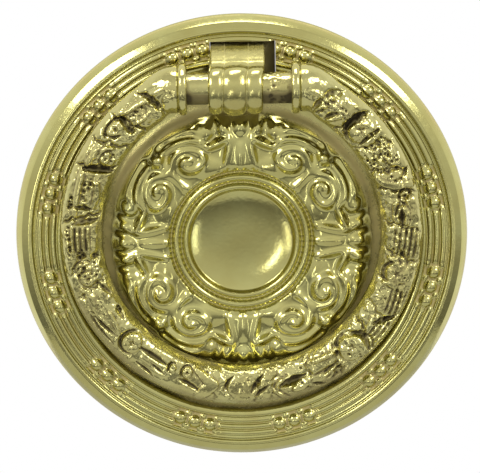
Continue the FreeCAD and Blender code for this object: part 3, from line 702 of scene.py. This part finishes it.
class RINGPULL_OT_ring(bpy.types.Operator):
    """Cast ring: an oval section carried round a circle and carved, with its two collars and the hinge bar"""

    bl_idname = "ring_pull.ring"
    bl_label = "Ring"

    def execute(self, context):
        size = context.scene.ring_pull_ring
        inner, outer, crown, back = (x / MM for x in (size.inner, size.outer, size.crown, size.back))
        middle, half = (inner + outer) / 2, (outer - inner) / 2
        drop = BAR_UP - size.rise / MM
        gap = math.degrees(math.asin((size.collar_face / MM + 1.3) / middle))
        degrees = np.linspace(90 + gap, 450 - gap, 980)
        spans = ((0, np.pi, 64), (np.pi, 2 * np.pi, 18))
        turn = np.concatenate([np.linspace(*span, endpoint=False) for span in spans])
        d, t = np.meshgrid(degrees, turn, indexing="ij")
        flare = smooth(12.0, 0.0, np.minimum(d - degrees[0], degrees[-1] - d))
        neck = size.collar_radius / MM - 0.3
        power = 2 / (2.25 - 0.25 * flare)
        off = np.sign(np.cos(t)) * np.abs(np.cos(t)) ** power * (half + (neck - half) * flare)
        n = np.sign(np.sin(t)) * np.abs(np.sin(t)) ** power
        n = n * np.where(n > 0, crown + (neck - crown) * flare, back + (neck - back) * flare)
        face = smooth(0.1, 1.1, n) * smooth(half, half - 0.9, np.abs(off)) * (1 - flare)
        rough = np.random.default_rng(3).normal(size=(2, *d.shape))
        fine, coarse = blurred(rough[0], 2), blurred(rough[1], 10)
        cast = 0.035 * fine / fine.std() + 0.06 * coarse / coarse.std()
        cast = cast * (1 - 0.6 * np.exp(-(((d - 238) / 30) ** 2)))
        carved = (ring_relief(d, middle + off) + cast) * face
        n = n + np.clip(carved, -1.4, 0.8)
        # Painted shade in the deepest cuts, clefts and pits, with deposits there, and painted shade in the crevices
        # of the carving.
        dirt_and_shade = np.clip(-carved * 1.3 - 0.34, 0, 0.95)
        dirt_and_shade = np.maximum(dirt_and_shade, np.clip((blurred(n, 3) - n) * 7.0, 0, 1) * face)
        patches = np.sin(d * 0.31 + 1.4 * np.sin(d * 0.13)) * np.cos(off * 1.7 + d * 0.09)
        dirt_and_shade = dirt_and_shade + (0.1 + 0.14 * patches) * face
        # Painted shade on the ring's inner edge, more so away from its bottom, on its outer edge near the bottom,
        # and on its back, which faces the plate.
        flank = smooth(1.2 - half, 0.3 - half, off) * smooth(22.0, 50.0, np.abs(d - 270))
        flank = np.maximum(flank, smooth(0.6 - half, 0.1 - half, off))
        lee = smooth(half - 2.0, half - 1.0, off) * smooth(80.0, 45.0, np.abs(d - 258))
        dirt_and_shade = np.clip(np.maximum(dirt_and_shade, np.maximum(0.3 * flank, 0.45 * lee)), 0, 1)
        dirt_and_shade = np.maximum(dirt_and_shade, 0.5 * smooth(0.3, -1.0, n))
        a = np.radians(d)
        ex, ey = np.cos(a) * (1 - flare), np.sin(a) * (1 - flare) + flare
        scale = off / np.hypot(ex, ey)
        level = (middle * np.sin(a) - drop) * (1 - flare)
        hoop = np.stack([middle * np.cos(a) + ex * scale, level + ey * scale, n], -1)
        parts = [(*capped(hoop, True), np.append(dirt_and_shade.ravel(), [0.5, 0.5]))]
        parts += [self.collar(size, side) for side in (-1, 1)]
        parts.append(self.bar(size))
        lean = math.asin((BAR_OUT - 1.2 - 0.1 - back) / (drop + outer))
        parts = [(hung(p.reshape(-1, 3), lean), f, s) for p, f, s in parts]
        piece = build("ring_relief", parts, "ring", "ring")
        finished(piece, "Cast pitted brass", tones().ring, 0.13, 0.9, 0.45, 0.55)
        return {"FINISHED"}

    def collar(self, size, side):
        """A collar turned about the bar: a flat face, a rounded lip and a hollow flare into the ring's arm."""
        face, radius, core = size.collar_face / MM, size.collar_radius / MM, size.bar_radius / MM
        bow = np.linspace(0, math.pi, 9)
        lip = [(face + 0.55 - 0.55 * math.cos(t), radius - 0.3 + 0.3 * math.sin(t)) for t in bow]
        places = turned_rows([(face, core), (face, radius - 0.6), *lip, (face + 2.2, radius - 0.7)], 72)
        # Painted shade on the collar's flat face next to the bar and where its flare runs into the arm.
        dirt_and_shade = np.repeat(np.array([0.6, 0.35] + [0.0] * 8 + [0.3, 0.3])[:, None], 72, 1)
        if side < 0:
            places[..., 0] *= -1
        return *capped(places, side < 0), np.append(dirt_and_shade.ravel(), [0.6, 0.3])

    def bar(self, size):
        """The hinge bar, a cylinder whose right half is left rough with casting pits."""
        core, reach = size.bar_radius / MM, size.collar_face / MM + 0.5
        rng = np.random.default_rng(11)
        x = np.linspace(-reach, reach, 150)
        turn = np.linspace(0, 2 * np.pi, 96, endpoint=False)
        gx, gt = np.meshgrid(x, turn, indexing="ij")
        dent = np.zeros(gx.shape)
        draws = [rng.uniform(*span, 70) for span in ((3.9, 7.0), (0, 2 * np.pi), (0.12, 0.28))]
        for place, angle, scale in zip(*draws):
            away = np.angle(np.exp(1j * (gt - angle))) * core
            dent = np.minimum(dent, -0.45 * scale * np.exp(-((gx - place) ** 2 + away**2) / scale**2))
        away = np.angle(np.exp(1j * (gt - 1.25))) * core
        dent = np.minimum(dent, -0.3 * np.exp(-((gx - 4.75) ** 2 + away**2) / 0.08))
        radius = core + dent
        places = np.stack([gx, radius * np.cos(gt), radius * np.sin(gt)], -1)
        # Deposits and painted shade in the casting pits, and painted shade where the bar runs into the collars.
        dirt_and_shade = np.clip(-dent * 3.0, 0, 1) + 0.45 * smooth(6.2, 7.2, np.abs(gx))
        # Painted shade on the lower front quarter of the bar, standing in for the dark gap it would reflect.
        dirt_and_shade = dirt_and_shade + 0.85 * smooth(0.5, -0.8, places[..., 1]) * smooth(-1.0, 0.5, places[..., 2])
        return *capped(places), np.append(np.clip(dirt_and_shade, 0, 1).ravel(), [0.5, 0.5])


def hung(points, lean):
    """Places drawn about the bar's axis, Y up and Z out, leaned back and put into the shared frame."""
    x, y, z = points.T
    up = BAR_UP + y * math.cos(lean) - z * math.sin(lean)
    out = BAR_OUT + y * math.sin(lean) + z * math.cos(lean)
    return np.stack([x, -out, up], -1)


class RINGPULL_OT_hook(bpy.types.Operator):
    """Hook: a strap with three lobed ribs bent round the bar, a neck through the slot and a tapped post"""

    bl_idname = "ring_pull.hook"
    bl_label = "Hook"

    def execute(self, context):
        size = context.scene.ring_pull_hook
        width, shift = size.width / MM, size.shift / MM
        inner = 2.2 + size.fit / MM
        outer = inner + size.wall / MM
        foot = 1.2 - BAR_OUT
        across = np.linspace(-0.5, 0.5, 96)
        outside = curve(
            [(5.58, -BAR_OUT), (5.58, -4.3), (5.3, -3.1), (4.35, -1.3), (3.55, -0.2)], 30
        )
        swing = np.radians(np.linspace(84, -90, 74))
        loop = np.stack([outer * np.sin(swing), outer * np.cos(swing)], -1)
        lip = np.stack([np.full(6, -outer), np.linspace(-0.4, foot, 6)], -1)
        back = np.radians(np.linspace(-90, 90, 40))
        under = np.stack([inner * np.sin(back), inner * np.cos(back)], -1)
        line = np.concatenate([outside, loop, lip, [(-inner, foot)], under, [(inner, -BAR_OUT)]])
        rows = len(line)
        y, z = np.repeat(line.T[:, :, None], len(across), 2)
        x = np.repeat(across[None, :] * width, rows, 0)
        ribs = [(-0.5, -0.24, 0.36), (-0.24, 0.2, size.rib_rise / MM - 0.25), (0.2, 0.5, 0.38)]
        profile, lobe = np.zeros(len(across)), np.zeros(len(across))
        for left, right, rise in ribs:
            t = (across - (left + right) / 2) / ((right - left) / 2)
            on = np.abs(t) <= 1
            profile = np.where(on, rise * np.clip(1 - t**2, 0, None) ** 0.6, profile)
            lobe = np.where(on, np.clip(1 - t**2, 0, None) ** 0.5, lobe)
        angle = np.degrees(np.arctan2(y, z))
        on_loop = np.zeros(rows)
        start = len(outside)
        on_loop[: start + len(swing)] = 1.0
        begin = smooth(start - 8.0, start + 16.0, np.arange(rows))
        end_angle = -52.0 - 20.0 * lobe
        fade = smooth(end_angle[None, :] - 9.0, end_angle[None, :], angle)
        border = np.exp(-(((angle - end_angle[None, :] - 2.0) / 3.2) ** 2))
        lift = ((0.2 + profile[None, :]) * fade + 0.14 * border) * (on_loop * begin)[:, None]
        norm = np.hypot(y, z)
        y2, z2 = y + lift * y / norm, z + lift * z / norm
        x = x + shift - 0.33 * smooth(3.4, 1.8, y2)
        round_off = 0.22 * np.clip((np.abs(across) - 0.47) / 0.03, 0, 1) ** 2 * on_loop[:, None]
        y2, z2 = y2 - round_off * y / norm, z2 - round_off * z / norm
        places = np.stack([x, -(BAR_OUT + z2), BAR_UP + y2], -1)
        # Painted shade in the grooves between the ribs.
        groove = np.exp(-(((across + 0.24) / 0.012) ** 2)) + np.exp(-(((across - 0.2) / 0.012) ** 2))
        dirt_and_shade = 0.4 * groove[None, :] * fade * on_loop[:, None]
        # Painted shade on the strap past the lobed ends, where it turns under the bar.
        dirt_and_shade = np.maximum(dirt_and_shade, 0.75 * smooth(-56.0, -80.0, angle) * (1 - fade) * np.ones_like(dirt_and_shade))
        # Painted shade on the neck, making it darker than its lighting does.
        neck = smooth(start + 6.0, start - 6.0, np.arange(rows))
        dirt_and_shade = np.maximum(dirt_and_shade, 0.22 * neck[:, None])
        # Painted shade on the inside of the loop round the bar and on its lip.
        dirt_and_shade = np.where(on_loop[:, None] > 0, dirt_and_shade, 0.55)
        strap = quads(rows, len(across), close_rows=True)[:, ::-1]
        left_side = np.arange(rows) * len(across)
        caps = [self.cap(left_side, rows)[:, ::-1], self.cap(left_side + len(across) - 1, rows)]
        parts = [(places, [strap] + caps, dirt_and_shade.ravel()), self.post(size), self.key()]
        piece = build("hook_relief", parts, "plate", "hinge_hook")
        finished(piece, "Polished cast brass", tones().hook, 0.19, 0.5, 0.12, 0.6)
        return {"FINISHED"}

    def cap(self, loop, rows):
        """Triangles over one end of the strap, between its outer and its inner edge."""
        outer_edge, inner_edge = loop[: rows - 42], loop[rows - 42 :][::-1]
        there = inner_edge[np.round(np.linspace(0, len(inner_edge) - 1, len(outer_edge))).astype(int)]
        first = np.stack([outer_edge[:-1], outer_edge[1:], there[1:]], -1)
        second = np.stack([outer_edge[:-1], there[1:], there[:-1]], -1)
        return np.concatenate([first, second[there[1:] != there[:-1]]])

    def key(self):
        """The flat key that fills the slot: a rounded oblong carried from the back plane into the sheet, dark all
        over as painted shade in the slot.
        """
        turn = np.linspace(0, 2 * np.pi, 64, endpoint=False)
        c, s = np.cos(turn), np.sin(turn)
        grow = 1 / np.maximum(np.abs(c), np.abs(s))
        half_x, half_z, mid_x, mid_z = 4.5, 3.95, 0.55, 24.33
        x, z = mid_x + half_x * c * grow, mid_z + half_z * s * grow
        places = np.stack([np.stack([x, np.full(64, -h), z], -1) for h in (0.0, 0.6)])
        # Painted shade: the key is dark all over.
        return *capped(places), 0.6

    def post(self, size):
        """The round post behind the plate with its tapped hole, turned about its own axis."""
        radius, reach, shift = size.post_radius / MM, size.post_length / MM, size.shift / MM
        bore, depth = 1.65, 8.5
        face = BAR_OUT - 3.7
        axis = BAR_UP + 5.1 - radius
        wave = np.linspace(0, depth - 0.4, 50)
        thread = [(reach - 0.2 - w, bore + 0.12 * math.sin(w * 2 * math.pi / 0.7)) for w in wave]
        profile = [(-face, radius), (reach - 0.3, radius), (reach, radius - 0.3), (reach, bore + 0.2)]
        profile += thread + [(reach - depth, bore)]
        rows = turned_rows(profile, 64)
        places = np.stack([shift + rows[..., 1], rows[..., 0], axis + rows[..., 2]], -1)
        # Painted shade inside the tapped hole, darkest at its bottom; the post's outside is a little darker at its
        # root.
        dirt_and_shade = np.repeat(np.array([0.3, 0.2, 0.15, 0.2] + [0.6] * len(thread) + [0.8])[:, None], 64, 1)
        return *capped(places, True), np.append(dirt_and_shade.ravel(), [0.5, 0.8])


class RINGPULL_OT_stage(bpy.types.Operator):
    """Stage: a pale floor well below, soft lamps, a plain bright surround and the camera"""

    bl_idname = "ring_pull.stage"
    bl_label = "Stage"

    def execute(self, context):
        scene = context.scene
        scene.view_settings.view_transform = "Standard"
        self.floor(scene)
        self.surround(scene)
        self.lamp(scene, "Left lamp", (-0.36, -0.3, 0.32), (0.18, 0.18), 0.9)
        self.lamp(scene, "Right lamp", (0.36, -0.29, 0.31), (0.18, 0.18), 0.7)
        self.lamp(scene, "Top lamp", (0.0, -0.03, 0.55), (0.3, 0.16), 1.2)
        self.lamp(scene, "Front lamp", (-0.124, -0.462, -0.042), (0.107, 0.035), 0.07, math.pi / 4)
        self.lamp(scene, "Low left lamp", (-0.22, -0.43, -0.13), (0.04, 0.14), 0.04)
        self.lamp(scene, "Low right lamp", (0.22, -0.43, -0.13), (0.04, 0.14), 0.04)
        self.camera(scene)
        return {"FINISHED"}

    def floor(self, scene):
        """A round sheet that turns up a little at its edge."""
        rows, columns = 24, 96
        turn = np.linspace(0, 2 * np.pi, columns, endpoint=False)
        r, a = np.meshgrid(np.linspace(0.02, FLOOR_RADIUS, rows), turn, indexing="ij")
        z = FLOOR_LEVEL + 0.02 * smooth(0.28, FLOOR_RADIUS, r)
        places = np.stack([r * np.cos(a), r * np.sin(a), z], -1).reshape(-1, 3)
        places = np.concatenate([places, [[0, 0, FLOOR_LEVEL]]])
        sheet = quads(rows, columns, close_columns=True)[:, ::-1]
        faces = sheet.tolist() + fan(rows * columns, np.arange(columns)).tolist()
        mesh = bpy.data.meshes.new("floor")
        mesh.from_pydata(places.tolist(), [], faces)
        mesh.shade_smooth()
        floor = bpy.data.objects.new("floor", mesh)
        scene.collection.objects.link(floor)
        paper = bpy.data.materials.new("Pale paper")
        paper.use_nodes = True
        shader = paper.node_tree.nodes["Principled BSDF"]
        shader.inputs["Base Color"].default_value = (0.5, 0.5, 0.49, 1.0)
        shader.inputs["Roughness"].default_value = 0.85
        mesh.materials.append(paper)

    def surround(self, scene):
        """White behind the object, and in front a room that is bright above and dim below."""
        world = bpy.data.worlds.new("Studio")
        scene.world = world
        world.use_nodes = True
        nodes, link = world.node_tree.nodes, world.node_tree.links.new
        nodes.clear()
        kinds = "OutputWorld TexCoord SeparateXYZ MapRange ValToRGB MapRange Mix LightPath Mix Background".split()
        made = [nodes.new("ShaderNode" + kind) for kind in kinds]
        out, place, split, lift, height, behind, level, path, seen, light = made
        link(place.outputs["Generated"], split.inputs[0])
        lift.inputs["From Min"].default_value = -1.0
        link(split.outputs["Z"], lift.inputs["Value"])
        heights = (0, 0.22, 0.34, 0.4, 0.45, 0.55, 0.75, 1)
        stops = tuple(zip(heights, (0.24, 0.16, 0.35, 0.54, 0.64, 0.7, 0.92, 0.6)))
        while len(height.color_ramp.elements) < len(stops):
            height.color_ramp.elements.new(0.5)
        for element, (position, value) in zip(height.color_ramp.elements, stops):
            element.position = position
            element.color = (value, value, value, 1.0)
        link(lift.outputs["Result"], height.inputs["Fac"])
        for key, value in (("From Min", -0.1), ("From Max", 0.35), ("To Min", 0.0), ("To Max", 1.0)):
            behind.inputs[key].default_value = value
        link(split.outputs["Y"], behind.inputs["Value"])
        link(behind.outputs["Result"], level.inputs["Factor"])
        link(height.outputs["Color"], level.inputs[2])
        level.inputs[3].default_value = 1.0
        link(path.outputs["Is Camera Ray"], seen.inputs["Factor"])
        link(level.outputs[0], seen.inputs[2])
        seen.inputs[3].default_value = 1.0
        light.inputs["Color"].default_value = (1.0, 1.0, 1.0, 1.0)
        link(seen.outputs[0], light.inputs["Strength"])
        link(light.outputs[0], out.inputs["Surface"])

    def lamp(self, scene, name, place, size, power, roll=0.0):
        """A rectangular soft lamp turned towards the object."""
        data = bpy.data.lights.new(name, "AREA")
        data.shape = "RECTANGLE"
        data.size, data.size_y = size
        data.energy = power
        lamp = bpy.data.objects.new(name, data)
        scene.collection.objects.link(lamp)
        lamp.location = place
        lamp.rotation_euler = aimed(-np.array(place), roll)

    def camera(self, scene):
        """The camera of the photograph: a long lens, a little above the object and slightly rolled."""
        azimuth, elevation, roll = (math.radians(v) for v in (0.244, 13.11, 0.945))
        reach, aim = 0.3398, np.array([-0.000238, 0.0, 0.000151])
        level = math.cos(elevation)
        away = np.array([math.sin(azimuth) * level, -math.cos(azimuth) * level, math.sin(elevation)])
        data = bpy.data.cameras.new("Camera")
        data.sensor_fit = "HORIZONTAL"
        data.sensor_width = SENSOR
        data.lens = SENSOR * FOCAL_LENGTH / PHOTO_WIDTH
        data.clip_start = 0.01
        camera = bpy.data.objects.new("Camera", data)
        scene.collection.objects.link(camera)
        camera.location = aim + reach * away
        camera.rotation_euler = aimed(-away, -roll)
        scene.camera = camera


def aimed(direction, roll):
    """Euler angles that look along a direction with Z up, then turned about the view by a roll."""
    look = Vector(direction).normalized()
    turn = look.to_track_quat("-Z", "Y")
    return (turn @ Quaternion((0.0, 0.0, 1.0), roll)).to_euler()


class RINGPULL_PT_panel(bpy.types.Panel):
    """The handle's pieces, sizes and colours"""

    bl_label = "Ring Pull"
    bl_idname = "RINGPULL_PT_panel"
    bl_space_type = "VIEW_3D"
    bl_region_type = "UI"
    bl_category = "Ring Pull"

    def draw(self, context):
        for group, action in (("plate", "backplate"), ("ring", "ring"), ("hook", "hook")):
            box = self.layout.box()
            values = getattr(context.scene, "ring_pull_" + group)
            for key in values.__annotations__:
                box.prop(values, key)
            box.operator("ring_pull." + action)
        for key in context.scene.ring_pull_colours.__annotations__:
            self.layout.prop(context.scene.ring_pull_colours, key)
        self.layout.operator("ring_pull.stage")


GROUPS = {"plate": PlateSizes, "ring": RingSizes, "hook": HookSizes, "colours": BrassColours}
CLASSES = (
    *GROUPS.values(),
    RINGPULL_OT_backplate,
    RINGPULL_OT_ring,
    RINGPULL_OT_hook,
    RINGPULL_OT_stage,
    RINGPULL_PT_panel,
)


def register():
    for kind in CLASSES:
        bpy.utils.register_class(kind)
    for name, group in GROUPS.items():
        setattr(bpy.types.Scene, "ring_pull_" + name, bpy.props.PointerProperty(type=group))


def unregister():
    for name in GROUPS:
        delattr(bpy.types.Scene, "ring_pull_" + name)
    for kind in reversed(CLASSES):
        bpy.utils.unregister_class(kind)


def main():
    register()
    bpy.ops.ring_pull.backplate()
    bpy.ops.ring_pull.ring()
    bpy.ops.ring_pull.hook()
    bpy.ops.ring_pull.stage()


if __name__ == "__main__":
    main()
